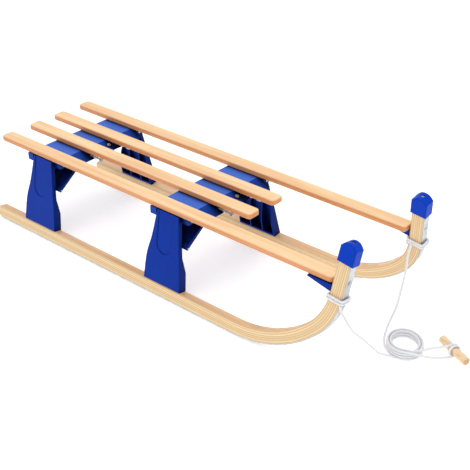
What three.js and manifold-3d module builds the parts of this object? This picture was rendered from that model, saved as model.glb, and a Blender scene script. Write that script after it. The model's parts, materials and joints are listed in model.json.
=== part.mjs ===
// Folding wooden sledge: slatted seat on two moulded cross-beams, laminated runners bent up into horns,
// moulded legs that fold inwards under the seat, and a pull rope with a wooden handle.
// Millimetres, +X towards the horns, +Y to the left, +Z up. X is counted from the slats' rear ends
// and the finished model is then centred over its own footprint.

import * as THREE from 'three';
import { mergeVertices } from 'three/addons/utils/BufferGeometryUtils.js';
import Module from 'manifold-3d';

const wasm = await Module();
wasm.setup();

// Clearances and tool overruns
const seatGap = 0.3;
const overrun = 2;
const weld = 0.0001;

// Seat slats
const slatHornGap = 1.5;
const innerSlatLength = 755;
const slatWidth = 35.7;
const slatThickness = 13.3;
const slatTop = 223;
const outerSlatY = 128.6;
const innerSlatY = 40.5;
const slatCorner = 9;
const slatBevel = 1.6;

// Runners, in the tilted plane of each side
const tilt = THREE.MathUtils.degToRad(9.9);
const footY = 174.5;
const runnerWidth = 22.5;
const runnerDepth = 29.5;
const runnerBevel = 2;
const runnerRear = -9;
const runnerRearRadius = 12;
const bendStart = 813;
const slowBendRadius = 300;
const slowBendAngle = THREE.MathUtils.degToRad(45);
const tightBendRadius = 166;
const hornLean = THREE.MathUtils.degToRad(83);
const hornHeight = 292;
const arcSteps = 10;

// Steel strip under the runner and up the horn
const stripThickness = 2;
const stripWidth = 18;
const stripTop = 284;
const stripRearInset = 14;

// Horn caps
const capWall = 2.8;
const capHeight = 37;
const capArch = 9;
const capBottom = 262;
const capBevel = 2.4;
const capHoleRadius = 4.2;
const capHoleDepth = 5;

// Stations of the two trestles
const stationSpacing = 431;
const stationNames = ['rear', 'front'];

// Legs, heights above the sole in the tilted plane and places along X from the station's zero
const legFoot = 32.2;
const legRearFoot = 104;
const legRearWaist = 108;
const legRearTop = 131;
const legFrontFoot = 218;
const legFrontWaist = 205;
const legFrontTop = 197;
const legLowWaist = 95;
const legHighWaist = 140;
const legWall = 3.5;
const legFootPlate = 6;
const legTopDepth = 11;
const legTaperLow = 72;
const legTaperHigh = 112;
const legBevel = 1;
const legRibs = 2;
const reliefDepth = 0.9;
const reliefLow = 108;
const reliefMargin = 12;

// Fold hinge between beam and leg
const hingeY = 128;
const hingeZ = 199;
const knuckleRadius = 8.5;
const armSlope = 14.5;
const armReach = 42;
const hingePinRadius = 3;
const pinHead = 2.5;
const pinHeadThickness = 2;

// Cross-beams
const beamRear = 108;
const beamFlatFront = 203;
const beamFront = 237;
const beamBottom = 191.5;
const beamBottomFront = 193;
const earRearEnd = 127;
const earFrontStart = 201.5;
const earFrontEnd = 216;
const earMargin = 21;
const frontEarReach = 139;
const notchReach = 116.5;
const beamSkin = 3.5;
const beamRib = 3;
const beamBossHalf = 9;
const beamCells = 3;

// Braces between leg and beam
const braceY = 143;
const braceZ = 135;
const braceAngle = THREE.MathUtils.degToRad(35.1);
const braceLength = 94;
const braceThickness = 7;
const bracePlate = 3.5;
const braceRear = 154;
const braceFront = 215;
const braceFlange = 4;
const braceKnuckle = 4.8;
const bracePinRadius = 2;
const lugRear = 141;
const lugThickness = 12;
const innerLugRear = 176;
const innerLugThickness = 10;

// Stay pins and centre bolts at the front of the beams
const stayPinY = 46;
const stayPinZ = 198;
const stayPinRadius = 2.2;
const stayPinRear = 206;
const stayPinFront = 268;
const stayCollarPlace = 236;
const stayCollar = 5;
const stayCollarRadius = 4.5;
const stayNut = 9;
const stayNutRadius = 5;
const boltY = 18;
const boltHeadRadius = 4.6;
const boltHeadThickness = 3;
const boltShankRadius = 2;
const boltLength = 11;

// Front rests under the outer slats
const restLength = 61;
const restHornOverlap = 1;
const restHeight = 15.5;
const restTip = 3;
const restWidth = 20;
const restOffset = 1.5;

// Screws
const screwRadius = 2;
const screwHead = 4;
const screwHeadHeight = 3;
const slatBite = 9;
const legBoltRadius = 3;
const legBoltHead = 5.5;
const legBoltHeadHeight = 4;
const legBoltBite = 4.5;
const stripScrewRadius = 1.8;
const stripScrewHead = 4;
const stripScrewLength = 14;
const stripScrewPlace = 222;
const stripScrewDome = 1.2;
const capScrewRadius = 2;
const capScrewHead = 3.6;
const capScrewLength = 22;

// Rope and handle
const ropeDiameter = 5.5;
const loopPlace = 183;
const loopGap = 0.6;
const loopCorner = 5;
const loopPitch = 6.7;
const loopTurns = 2;
const loopTail = 12;
const loopSeatGap = 0.5;
const rightSeatIndex = 9;
const rightSeatShare = 0.5;
const leftSeatIndex = 15;
const leftSeatShare = 0.75;
const loopStepsPerCorner = 4;
const stretchSides = 8;
const stretchSteps = 38;
const strandSteps = 13;
const coilCentre = [1122, 14];
const coilRadius = 37;
const coilStretchShare = 1.17;
const coilRowStep = 6.6;
const coilPitch = 6.3;
const coilStart = THREE.MathUtils.degToRad(-80);
const coilEnd = THREE.MathUtils.degToRad(-59);
const coilTurns = 3;
const stepsPerLoop = 24;
const coilTurnAway = THREE.MathUtils.degToRad(41.3);
const handleCentre = [1213, 60];
const handleAngle = THREE.MathUtils.degToRad(-25);
const handleLength = 90;
const handleRadius = 9;
const handleGrooveRadius = 8;
const handleGroove = 17;
const handleZ = 14.1;
const handleBevel = 1.6;
const tieTurns = 1.5;
const handleSides = 20;

// Derived places
const slatUnder = slatTop - slatThickness;
const beamTop = slatUnder - seatGap;
const soleToWood = stripThickness + seatGap;
const halfRunner = runnerWidth / 2;
const soleLift = (stripWidth / 2) * Math.sin(tilt);
const ropeRadius = ropeDiameter / 2;
const outerFace = -halfRunner;
const earReach = hingeY + earMargin;

// Materials
function paint(color, roughness, metalness) {
  return new THREE.MeshStandardMaterial({ color, roughness, metalness });
}
const slatWood = paint(0xf3cf9c, 0.5, 0);
const runnerWood = paint(0xe2c79c, 0.5, 0);
const bluePlastic = paint(0x1c43a6, 0.4, 0);
const steel = paint(0xb9bec2, 0.35, 1);
const rope = paint(0xf0f0f2, 0.9, 0);
const handleWood = paint(0xf0d3a4, 0.5, 0);

// Solids from three.js geometry, for joining and cutting
function solidOf(geometry) {
  const bare = geometry.clone();
  bare.deleteAttribute('normal');
  bare.deleteAttribute('uv');
  const merged = mergeVertices(bare, weld);
  const vertProperties = new Float32Array(merged.attributes.position.array);
  const triVerts = new Uint32Array(merged.index.array);
  return new wasm.Manifold(new wasm.Mesh({ numProp: 3, vertProperties, triVerts }));
}

function geometryOf(solid) {
  const mesh = solid.getMesh();
  const geometry = new THREE.BufferGeometry();
  geometry.setAttribute('position', new THREE.BufferAttribute(mesh.vertProperties, 3));
  geometry.setIndex(new THREE.BufferAttribute(mesh.triVerts, 1));
  geometry.computeVertexNormals();
  return geometry;
}

function cut(geometry, tools) {
  let solid = solidOf(geometry);
  for (const tool of tools) solid = solid.subtract(solidOf(tool));
  return geometryOf(solid);
}

function join(parts) {
  let solid = solidOf(parts[0]);
  for (const part of parts.slice(1)) solid = solid.add(solidOf(part));
  return geometryOf(solid);
}

function common(first, second) {
  return geometryOf(solidOf(first).intersect(solidOf(second)));
}

// Prisms: a closed outline pushed along one axis, with an optional small bevel
function prism(points, length, bevel = 0) {
  const shape = new THREE.Shape(points.map(([a, b]) => new THREE.Vector2(a, b)));
  const geometry = new THREE.ExtrudeGeometry(shape, {
    depth: length - 2 * bevel,
    bevelEnabled: bevel > 0,
    bevelThickness: bevel,
    bevelSize: bevel,
    bevelOffset: -bevel,
    bevelSegments: 1,
    curveSegments: arcSteps,
  });
  return geometry.translate(0, 0, bevel);
}

function alongX(pointsYZ, from, to, bevel) {
  const turn = new THREE.Matrix4().makeBasis(
    new THREE.Vector3(0, 1, 0), new THREE.Vector3(0, 0, 1), new THREE.Vector3(1, 0, 0));
  return prism(pointsYZ, to - from, bevel).applyMatrix4(turn).translate(from, 0, 0);
}

function alongY(pointsXZ, from, to, bevel) {
  return prism(pointsXZ, to - from, bevel).rotateX(Math.PI / 2).translate(0, to, 0);
}

function alongZ(pointsXY, from, to, bevel) {
  return prism(pointsXY, to - from, bevel).translate(0, 0, from);
}

function block(x0, x1, y0, y1, z0, z1) {
  return alongZ([[x0, y0], [x1, y0], [x1, y1], [x0, y1]], z0, z1);
}

function rodX(radius, x0, x1, y, z, sides = 16) {
  return new THREE.CylinderGeometry(radius, radius, x1 - x0, sides)
    .rotateZ(-Math.PI / 2).translate((x0 + x1) / 2, y, z);
}

function rodZ(radius, z0, z1, x, y, sides = 16) {
  return new THREE.CylinderGeometry(radius, radius, z1 - z0, sides)
    .rotateX(Math.PI / 2).translate(x, y, (z0 + z1) / 2);
}

function mirrored(geometry) {
  const flipped = geometry.clone().scale(1, -1, 1);
  const bare = flipped.index ? flipped : mergeVertices(flipped, weld);
  const index = Array.from(bare.index.array);
  for (let i = 0; i < index.length; i += 3) [index[i + 1], index[i + 2]] = [index[i + 2], index[i + 1]];
  bare.setIndex(index);
  bare.computeVertexNormals();
  return bare;
}

function arc(cx, cy, radius, from, to, steps) {
  const points = [];
  for (let i = 0; i <= steps; i += 1) {
    const angle = from + ((to - from) * i) / steps;
    points.push([cx + radius * Math.cos(angle), cy + radius * Math.sin(angle)]);
  }
  return points;
}

// A tube of rings along given points, for wound rope
function woundTube(points, radius, sides) {
  const rings = [];
  let normal = new THREE.Vector3(0, 0, 1);
  points.forEach((point, i) => {
    const before = points[Math.max(0, i - 1)];
    const after = points[Math.min(points.length - 1, i + 1)];
    const tangent = after.clone().sub(before).normalize();
    normal = normal.clone().addScaledVector(tangent, -normal.dot(tangent));
    if (normal.lengthSq() < weld) normal.set(1, 0, 0).addScaledVector(tangent, -tangent.x);
    normal.normalize();
    const side = tangent.clone().cross(normal);
    for (let k = 0; k < sides; k += 1) {
      const angle = (2 * Math.PI * k) / sides;
      rings.push(point.clone()
        .addScaledVector(normal, radius * Math.cos(angle))
        .addScaledVector(side, radius * Math.sin(angle)));
    }
  });
  const index = [];
  for (let i = 0; i + 1 < points.length; i += 1) {
    for (let k = 0; k < sides; k += 1) {
      const a = i * sides + k;
      const b = i * sides + ((k + 1) % sides);
      index.push(a, b, a + sides, b, b + sides, a + sides);
    }
  }
  const last = (points.length - 1) * sides;
  for (let k = 1; k + 1 < sides; k += 1) {
    index.push(0, k + 1, k);
    index.push(last, last + k, last + k + 1);
  }
  const geometry = new THREE.BufferGeometry().setFromPoints(rings);
  geometry.setIndex(index);
  geometry.computeVertexNormals();
  return geometry;
}

function leastSelfGap(points, diameter) {
  let least = Infinity;
  const reach = 2.5 * diameter;
  for (let i = 0; i < points.length; i += 1) {
    let travelled = 0;
    for (let j = i + 1; j < points.length; j += 1) {
      travelled += points[j].distanceTo(points[j - 1]);
      if (travelled > reach) least = Math.min(least, points[i].distanceTo(points[j]) - diameter);
    }
  }
  return least;
}

// The model and its naming helper
const sledge = new THREE.Group();
const model = new THREE.Group();
sledge.add(model);

function add(name, geometry, material, parent = model) {
  const mesh = new THREE.Mesh(geometry, material);
  mesh.name = name;
  parent.add(mesh);
  return mesh;
}

// The two sides: local X forward, local Y inwards on the right side, local Z up the tilted plane
const sides = [
  { name: 'right', sign: -1, group: new THREE.Group() },
  { name: 'left', sign: 1, group: new THREE.Group() },
];
for (const side of sides) {
  side.group.position.set(0, side.sign * footY, soleLift);
  side.group.rotation.x = side.sign * tilt;
  model.add(side.group);
}

function addToSide(side, name, geometry, material) {
  const handed = side.sign < 0 ? geometry : mirrored(geometry);
  return add(name, handed, material, side.group);
}

function local(y, z) {
  const across = y + footY;
  const up = z - soleLift;
  return [
    across * Math.cos(tilt) - up * Math.sin(tilt),
    across * Math.sin(tilt) + up * Math.cos(tilt),
  ];
}

// The edge line of a runner at a given depth inside its outer edge
function edgeLine(depth, rear, top) {
  const points = [[rear, depth]];
  const slow = arc(bendStart, slowBendRadius, slowBendRadius - depth, -Math.PI / 2,
    -Math.PI / 2 + slowBendAngle, arcSteps);
  const kneeX = bendStart + (slowBendRadius - tightBendRadius) * Math.sin(slowBendAngle);
  const kneeZ = slowBendRadius - (slowBendRadius - tightBendRadius) * Math.cos(slowBendAngle);
  const tight = arc(kneeX, kneeZ, tightBendRadius - depth, -Math.PI / 2 + slowBendAngle,
    -Math.PI / 2 + hornLean, arcSteps);
  points.push(...slow, ...tight.slice(1));
  const [endX, endZ] = tight[tight.length - 1];
  points.push([endX + (top - endZ) / Math.tan(hornLean), top]);
  return points;
}

function hornPoint(depth, height) {
  const line = edgeLine(depth, runnerRear, height);
  return line[line.length - 1];
}

function hornRear(height) {
  return hornPoint(soleToWood + runnerDepth, height)[0];
}

function band(depth, thickness, rear, top) {
  const outer = edgeLine(depth, rear, top);
  const inner = edgeLine(depth + thickness, rear, top);
  const drop = thickness / Math.tan(hornLean);
  inner[inner.length - 1] = [
    outer[outer.length - 1][0] - thickness * Math.sin(hornLean),
    outer[outer.length - 1][1] + drop * Math.sin(hornLean),
  ];
  return outer.concat(inner.reverse());
}

function runnerOutline() {
  const outline = band(soleToWood, runnerDepth, runnerRear + runnerRearRadius, hornHeight);
  const low = arc(runnerRear + runnerRearRadius, soleToWood + runnerRearRadius, runnerRearRadius,
    Math.PI, 1.5 * Math.PI, 5);
  const high = arc(runnerRear + runnerRearRadius, soleToWood + runnerDepth - runnerRearRadius,
    runnerRearRadius, Math.PI / 2, Math.PI, 5);
  return outline.slice(0, -1).concat(high, low.slice(0, -1));
}

const legBoltX = (legRearFoot + legFrontFoot) / 2;

function stationX(index) {
  return index * stationSpacing;
}

function hornScrewPose() {
  const [x, h] = hornPoint(0, stripScrewPlace);
  return { x, h };
}

// A turned screw along local X, pointing rearwards into the horn
function hornwards(geometry) {
  const { x, h } = hornScrewPose();
  return geometry.rotateY(Math.PI / 2 - hornLean).translate(x, 0, h);
}

function stripScrew(clearance) {
  const head = rodX(stripScrewHead + clearance, -stripThickness, stripScrewDome, 0, 0);
  const shank = rodX(stripScrewRadius + clearance, -stripScrewLength - clearance, 0, 0, 0);
  return hornwards(join([head, shank]));
}

function capFrame(geometry) {
  const middle = (hornPoint(0, capBottom)[0] + hornPoint(soleToWood + runnerDepth, capBottom)[0]) / 2;
  return geometry.rotateY(Math.PI / 2 - hornLean).translate(middle, 0, capBottom);
}

const capHalf = (soleToWood + runnerDepth) / 2 + seatGap + capWall;
const capSideHalf = halfRunner + seatGap + capWall;
const hornStub = hornHeight - capBottom;

function capSolid() {
  const chord = 2 * (capHalf - capBevel);
  const archRadius = (chord * chord / 4 + capArch * capArch) / (2 * capArch);
  const half = Math.asin(chord / 2 / archRadius);
  const crown = arc(0, capHeight + capArch - archRadius, archRadius, Math.PI / 2 - half,
    Math.PI / 2 + half, arcSteps);
  const outline = [[-capHalf, 0], [capHalf, 0], [capHalf, capHeight - capBevel], ...crown,
    [-capHalf, capHeight - capBevel]];
  return alongY(outline, -capSideHalf, capSideHalf, capBevel);
}

function capGeometry() {
  const socketTop = hornStub / Math.sin(hornLean) + overrun;
  const socket = block(-capHalf + capWall, capHalf - capWall, -capSideHalf + capWall,
    capSideHalf - capWall, -overrun, socketTop);
  const top = capHeight + capArch;
  const recess = rodZ(capHoleRadius, top - capHoleDepth, top + overrun, 0, 0);
  const bore = rodZ(capScrewRadius + seatGap, 0, top, 0, 0);
  return capFrame(cut(capSolid(), [socket, recess, bore]));
}

function capScrew(clearance) {
  const seat = capHeight + capArch - capHoleDepth + seatGap;
  const head = rodZ(capScrewHead, seat, seat + screwHeadHeight, 0, 0);
  const shank = rodZ(capScrewRadius + clearance, seat - capScrewLength - clearance, seat, 0, 0);
  return capFrame(clearance > 0 ? shank : join([head, shank]));
}

function legBolt(x, clearance) {
  const low = soleToWood + seatGap;
  const head = rodZ(legBoltHead + clearance, low - (clearance ? overrun : 0),
    low + legBoltHeadHeight + clearance, x, 0);
  const top = legFoot + legBoltBite;
  const shank = rodZ(legBoltRadius + clearance, low, top + clearance, x, 0);
  return join([head, shank]);
}

function runnerGeometry() {
  const wood = alongY(runnerOutline(), -halfRunner, halfRunner, runnerBevel);
  const holes = [stripScrew(seatGap), capScrew(seatGap)];
  for (const station of [0, 1]) holes.push(legBolt(stationX(station) + legBoltX, seatGap));
  return cut(wood, holes);
}

function stripGeometry() {
  const outline = band(0, stripThickness, runnerRear + stripRearInset, stripTop);
  const flat = alongY(outline, -stripWidth / 2, stripWidth / 2);
  return cut(flat, [stripScrew(seatGap)]);
}

// Legs
function legOutline(inset) {
  const [, top] = local(-earReach, slatUnder);
  const rear = new THREE.CatmullRomCurve3([
    new THREE.Vector3(legRearFoot + inset, legFoot, 0),
    new THREE.Vector3(legRearWaist + inset, legLowWaist, 0),
    new THREE.Vector3((legRearWaist + legRearTop) / 2 + inset, legHighWaist, 0),
    new THREE.Vector3(legRearTop + inset, top, 0),
  ]);
  const front = new THREE.CatmullRomCurve3([
    new THREE.Vector3(legFrontTop - inset, top, 0),
    new THREE.Vector3(legFrontWaist - inset, legHighWaist, 0),
    new THREE.Vector3((legFrontWaist + legFrontFoot) / 2 - inset, legLowWaist, 0),
    new THREE.Vector3(legFrontFoot - inset, legFoot, 0),
  ]);
  return rear.getPoints(arcSteps).concat(front.getPoints(arcSteps)).map((p) => [p.x, p.y]);
}

function topCut() {
  const lid = slatUnder - 1.5 * seatGap;
  const [nearN, nearH] = local(-earReach - 2 * overrun, lid);
  const [farN, farH] = local(-hingeY + knuckleRadius * 2, lid);
  const high = farH + 4 * knuckleRadius;
  return alongX([[nearN, nearH], [farN, farH], [farN, high], [nearN, high]], legRearFoot - overrun,
    legFrontFoot + overrun);
}

function thinning() {
  const inner = outerFace + legTopDepth;
  const far = halfRunner + overrun;
  const [, top] = local(-earReach, slatTop);
  return alongX([[halfRunner, legTaperLow], [far, legTaperLow - overrun], [far, top + overrun],
    [inner, top + overrun], [inner, legTaperHigh]], legRearFoot - overrun, legFrontFoot + overrun);
}

function legPockets() {
  const inside = alongY(legOutline(legWall).map(([x, h]) => [x, h]), outerFace + legWall,
    halfRunner + overrun);
  const [, hingeH] = local(-hingeY, hingeZ);
  const low = legFoot + legFootPlate;
  const high = hingeH - 3 * knuckleRadius;
  const span = (legFrontFoot - legRearFoot) / (legRibs + 1);
  const pockets = [];
  for (let i = 0; i <= legRibs; i += 1) {
    const from = legRearFoot + i * span + (i > 0 ? legWall / 2 : 0);
    const to = legRearFoot + (i + 1) * span - (i < legRibs ? legWall / 2 : 0);
    const slab = block(from, to, outerFace, halfRunner + overrun, low, high);
    pockets.push(common(inside, slab));
  }
  return pockets;
}

function reliefCut() {
  const left = legRearTop + reliefMargin / 2;
  const right = legFrontTop - reliefMargin;
  const middle = (left + right) / 2;
  const radius = (right - left) / 2;
  const bottom = arc(middle, reliefLow + radius, radius, Math.PI, 2 * Math.PI, arcSteps);
  const [, high] = local(-earReach, slatTop);
  return alongY([...bottom, [right, high], [left, high]], outerFace - overrun, outerFace + reliefDepth);
}

function hingeArm() {
  const [hn, hh] = local(-hingeY, hingeZ);
  const barrel = arc(hn, hh, knuckleRadius, -Math.PI / 2 + tilt, Math.PI / 2 + tilt, 8);
  const [, plateTop] = local(-earReach, slatUnder - overrun);
  const inner = outerFace + legTopDepth;
  const outline = [
    [outerFace + legWall, hh - armReach],
    [inner, hh - armReach],
    [inner + seatGap, hh - armSlope],
    ...barrel,
    [outerFace + legWall, plateTop],
  ];
  return alongX(outline, legRearTop + legWall, legFrontTop - legWall / 2);
}

function braceLug(from, thickness) {
  const [bn, bh] = local(-braceY, braceZ);
  const inner = outerFace + legTopDepth;
  const round = arc(bn, bh, braceKnuckle, -Math.PI / 2, Math.PI / 2, 8);
  const root = inner - legWall;
  const outline = [[root, bh - 2 * braceKnuckle], [inner, bh - 2 * braceKnuckle], ...round,
    [root, bh + braceKnuckle]];
  return alongX(outline, from, from + thickness);
}

function legGeometry() {
  const [hn, hh] = local(-hingeY, hingeZ);
  const [bn, bh] = local(-braceY, braceZ);
  const plate = alongY(legOutline(0), outerFace, halfRunner, legBevel);
  const hollow = cut(plate, [thinning(), ...legPockets()]);
  const whole = join([hollow, hingeArm(), braceLug(lugRear, lugThickness),
    braceLug(innerLugRear, innerLugThickness)]);
  const x0 = legRearFoot - overrun;
  const x1 = legFrontFoot + overrun;
  return cut(whole, [
    topCut(),
    reliefCut(),
    rodX(hingePinRadius + seatGap, x0, x1, hn, hh),
    rodX(bracePinRadius + seatGap, x0, x1, bn, bh, 12),
    legBolt(legBoltX, seatGap),
  ]);
}

// Cross-beams
function beamProfile() {
  return [[beamRear, beamBottom], [beamFront - overrun, beamBottom], [beamFront, beamBottomFront],
    [beamFlatFront, beamTop], [beamRear, beamTop]];
}

function slatScrewPlaces() {
  const places = [];
  const outerX = (beamRear + earRearEnd) / 2;
  const innerX = (beamRear + beamFlatFront) / 2;
  for (const side of sides) {
    places.push([outerX, side.sign * (outerSlatY + beamBossHalf), `${side.name}_outer`]);
    places.push([innerX, side.sign * innerSlatY, `${side.name}_inner`]);
  }
  return places;
}

function slatScrew(x, y, clearance) {
  const low = beamBottom + seatGap;
  const head = rodZ(screwHead + clearance, low - (clearance ? overrun : 0),
    low + screwHeadHeight + clearance, x, y, 10);
  const shank = rodZ(screwRadius + clearance, low, slatUnder + slatBite + clearance, x, y, 10);
  return join([head, shank]);
}

function beamPockets() {
  const pockets = [];
  const edges = [
    [-notchReach + beamSkin, -innerSlatY - beamBossHalf],
    [-innerSlatY + beamBossHalf, innerSlatY - beamBossHalf],
    [innerSlatY + beamBossHalf, notchReach - beamSkin],
  ];
  const from = beamRear + beamSkin;
  const to = beamFlatFront - beamSkin;
  const span = (to - from) / beamCells;
  for (const [y0, y1] of edges) {
    for (let i = 0; i < beamCells; i += 1) {
      const x0 = from + i * span + (i > 0 ? beamRib / 2 : 0);
      const x1 = from + (i + 1) * span - (i + 1 < beamCells ? beamRib / 2 : 0);
      pockets.push(block(x0, x1, y0, y1, beamBottom - overrun, beamTop - beamSkin));
    }
  }
  return pockets;
}

function beamGeometry() {
  const bar = alongY(beamProfile(), -earReach, earReach);
  const tools = [...beamPockets()];
  const high = slatTop;
  const low = beamBottom - overrun;
  for (const sign of [-1, 1]) {
    const y = [sign * notchReach, sign * (earReach + overrun)].sort((a, b) => a - b);
    tools.push(block(earRearEnd, earFrontStart, y[0], y[1], low, high));
    tools.push(block(earFrontEnd, beamFront + overrun, y[0], y[1], low, high));
    const far = [sign * frontEarReach, sign * (earReach + overrun)].sort((a, b) => a - b);
    tools.push(block(earFrontStart - overrun, earFrontEnd + overrun, far[0], far[1], low, high));
    tools.push(rodX(hingePinRadius + seatGap, beamRear - overrun, beamFront, sign * hingeY, hingeZ));
    tools.push(rodX(stayPinRadius + seatGap, stayPinRear - seatGap, beamFront + overrun,
      sign * stayPinY, stayPinZ, 12));
  }
  tools.push(beamBolt(seatGap));
  for (const [x, y] of slatScrewPlaces()) tools.push(slatScrew(x, y, seatGap));
  return cut(bar, tools);
}

// A bolt square to the sloping front of the beam
function beamBolt(clearance) {
  const slope = Math.atan2(beamTop - beamBottomFront, beamFront - beamFlatFront);
  const midX = (beamFlatFront + beamFront) / 2;
  const midZ = (beamTop + beamBottomFront) / 2;
  const head = rodZ(boltHeadRadius, clearance ? overrun : seatGap, seatGap + boltHeadThickness, 0, 0);
  const shank = rodZ(boltShankRadius + clearance, -boltLength - clearance, seatGap + overrun, 0, 0, 12);
  const whole = clearance > 0 ? shank : join([head, shank]);
  return whole.rotateY(slope).translate(midX, boltY, midZ);
}

function stayPin(sign) {
  const y = sign * stayPinY;
  const shank = rodX(stayPinRadius, stayPinRear, stayPinFront, y, stayPinZ, 12);
  const collar = rodX(stayCollarRadius, stayCollarPlace, stayCollarPlace + stayCollar, y, stayPinZ, 12);
  const nut = rodX(stayNutRadius, stayPinFront - stayNut, stayPinFront - overrun, y, stayPinZ, 6);
  return join([shank, collar, nut]);
}

function hingePin(sign) {
  const y = sign * hingeY;
  const shank = rodX(hingePinRadius, beamRear - seatGap, earFrontEnd + overrun, y, hingeZ);
  const head = rodX(hingePinRadius + pinHead, beamRear - seatGap - pinHeadThickness,
    beamRear - seatGap, y, hingeZ);
  return join([shank, head]);
}

function braceGeometry() {
  const half = braceThickness / 2;
  const tip = arc(braceLength - half, 0, half, -Math.PI / 2, Math.PI / 2, 6);
  const barrel = arc(0, 0, braceKnuckle, Math.asin(half / braceKnuckle),
    2 * Math.PI - Math.asin(half / braceKnuckle), 12);
  const solid = alongX([...barrel, ...tip], braceRear, braceFront);
  const hollow = block(braceRear + braceFlange, braceFront - braceFlange, 2 * braceKnuckle,
    braceLength - 2 * half, -half + bracePlate, half + overrun);
  const notch = block(innerLugRear - seatGap, innerLugRear + innerLugThickness + seatGap,
    -2 * braceKnuckle, 2 * braceKnuckle, -2 * braceKnuckle, 2 * braceKnuckle);
  const bore = rodX(bracePinRadius + seatGap, braceRear - overrun, braceFront + overrun, 0, 0, 12);
  return cut(solid, [hollow, notch, bore]);
}

function bracePin(sign) {
  const y = sign * braceY;
  const shank = rodX(bracePinRadius, lugRear - seatGap, braceFront + overrun, y, braceZ, 12);
  const head = rodX(bracePinRadius + pinHead / 2, lugRear - seatGap - pinHeadThickness,
    lugRear - seatGap, y, braceZ, 12);
  return join([shank, head]);
}

function restGeometry() {
  const width = restWidth / 2;
  const restEnd = hornRear(slatUnder) + restHornOverlap;
  const restStart = restEnd - restLength;
  const [n0, top] = local(-hingeY - restOffset - restWidth, beamTop);
  const drop = Math.tan(tilt) * restWidth;
  const profile = [[restStart, top - restTip], [restStart, top + drop], [restEnd, top + drop],
    [restEnd, top - restHeight]];
  const raw = alongY(profile, n0, n0 + 2 * width);
  const lid = [local(-earReach - overrun * 4, beamTop), local(-hingeY + restWidth, beamTop)];
  const high = top + restHeight * 2;
  const above = alongX([lid[0], lid[1], [lid[1][0], high], [lid[0][0], high]], restStart - overrun,
    restEnd + overrun);
  const horn = alongY(band(0, soleToWood + runnerDepth + seatGap, runnerRear, slatTop * 1.2),
    -runnerWidth * 3, runnerWidth * 3);
  return cut(raw, [above, horn]);
}

// Rope round a horn: two turns of a rounded rectangle, with a straight tail at each end
function hornLoopPath() {
  const [x, h] = hornPoint(0, loopPlace);
  const depth = soleToWood + runnerDepth;
  const a = depth / 2 + loopGap + ropeRadius;
  const b = halfRunner + loopGap + ropeRadius;
  const corners = [[-1, 1], [-1, -1], [1, -1], [1, 1]];
  const flat = [];
  const total = loopTurns * 4;
  for (let k = 0; k <= total; k += 1) {
    const [sx, sy] = corners[k % 4];
    const cx = sx * (a - loopCorner);
    const cy = sy * (b - loopCorner);
    const start = Math.PI / 2 * ((k % 4) + 1);
    for (let i = 0; i < loopStepsPerCorner; i += 1) {
      const angle = start + (Math.PI / 2) * (i / (loopStepsPerCorner - 1));
      flat.push([cx + loopCorner * Math.cos(angle), cy + loopCorner * Math.sin(angle)]);
    }
  }
  const count = flat.length - 1;
  const lift = new THREE.Matrix4().makeRotationY(Math.PI / 2 - hornLean)
    .setPosition(x - (depth / 2) * Math.sin(hornLean), 0, h);
  const points = flat.map(([px, py], i) => new THREE.Vector3(px, py,
    loopPitch * loopTurns * (i / count - 0.5)));
  const end = points[points.length - 1];
  points.push(end.clone().setY(end.y - loopTail));
  return points.map((point) => point.applyMatrix4(lift));
}

// Pull rope
function coilPoint(angle, radius) {
  const c = Math.cos(coilTurnAway);
  const s = Math.sin(coilTurnAway);
  const across = Math.cos(angle - coilTurnAway) * radius;
  const away = Math.sin(angle - coilTurnAway) * radius * coilStretchShare;
  return [coilCentre[0] + across * c - away * s, coilCentre[1] + across * s + away * c];
}

function coilPath(radius) {
  const points = [];
  const sweep = coilTurns * 2 * Math.PI + coilEnd - coilStart;
  const steps = Math.round(stepsPerLoop * sweep / (2 * Math.PI));
  for (let i = 0; i <= steps; i += 1) {
    const turned = (sweep * i) / steps;
    const [x, y] = coilPoint(coilStart + turned, radius);
    const z = ropeRadius * 1.1 + coilPitch * turned / (2 * Math.PI);
    points.push(new THREE.Vector3(x, y, z));
  }
  return points;
}

function endRun(points, reach) {
  const end = points[points.length - 1];
  const direction = end.clone().sub(points[points.length - 2]).setZ(0).normalize();
  return end.clone().addScaledVector(direction, reach);
}

function withEnds(points) {
  const start = endRun([...points].reverse(), ropeDiameter);
  return [start, ...points, endRun(points, ropeDiameter)];
}

const coils = [
  { name: 'rope_coil_outer', points: withEnds(coilPath(coilRadius)) },
  { name: 'rope_coil_inner', points: withEnds(coilPath(coilRadius - coilRowStep)) },
];

// The rope's free stretches, each hung from the underside of a horn loop and ending at the coil
const rightRoute = [[1092, -149, 128], [1097, -110, 81], [1099, -72, 38], [1099, -50, 14], [1105, -36, 4.1]];
const leftRoute = [[1047, 124, 150], [1048, 117.5, 112], [1051, 100, 74], [1053, 84, 42], [1053, 62, 17],
  [1059, 38, 4.8], [1074, 8, 3.3], [1093, -14, 3.1]];

function loopSeat(side, index, share) {
  const seat = loopPoints[index].clone().lerp(loopPoints[index + 1], share);
  const down = new THREE.Vector3(-Math.cos(hornLean), 0, -Math.sin(hornLean));
  seat.y *= -side.sign;
  side.group.updateMatrix();
  seat.applyMatrix4(side.group.matrix);
  down.applyQuaternion(side.group.quaternion);
  const under = ropeRadius + loopSeatGap;
  return [under, under + ropeDiameter].map((reach) => seat.clone().addScaledVector(down, reach));
}

function stretchCurve(seat, route, coil) {
  const start = coil.points[0];
  const back = start.clone().sub(coil.points[1]).normalize();
  const points = seat.concat(route.map(([x, y, z]) => new THREE.Vector3(x, y, z)));
  points.push(start.clone().addScaledVector(back, 2 * ropeDiameter));
  points.push(start.clone().addScaledVector(back, seatGap));
  return new THREE.CatmullRomCurve3(points, false, 'centripetal');
}

function ropeSection(sideCount) {
  return new THREE.Shape(arc(0, 0, ropeRadius, 0, 2 * Math.PI * (1 - 1 / sideCount), sideCount - 1)
    .map(([a, b]) => new THREE.Vector2(a, b)));
}

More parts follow.
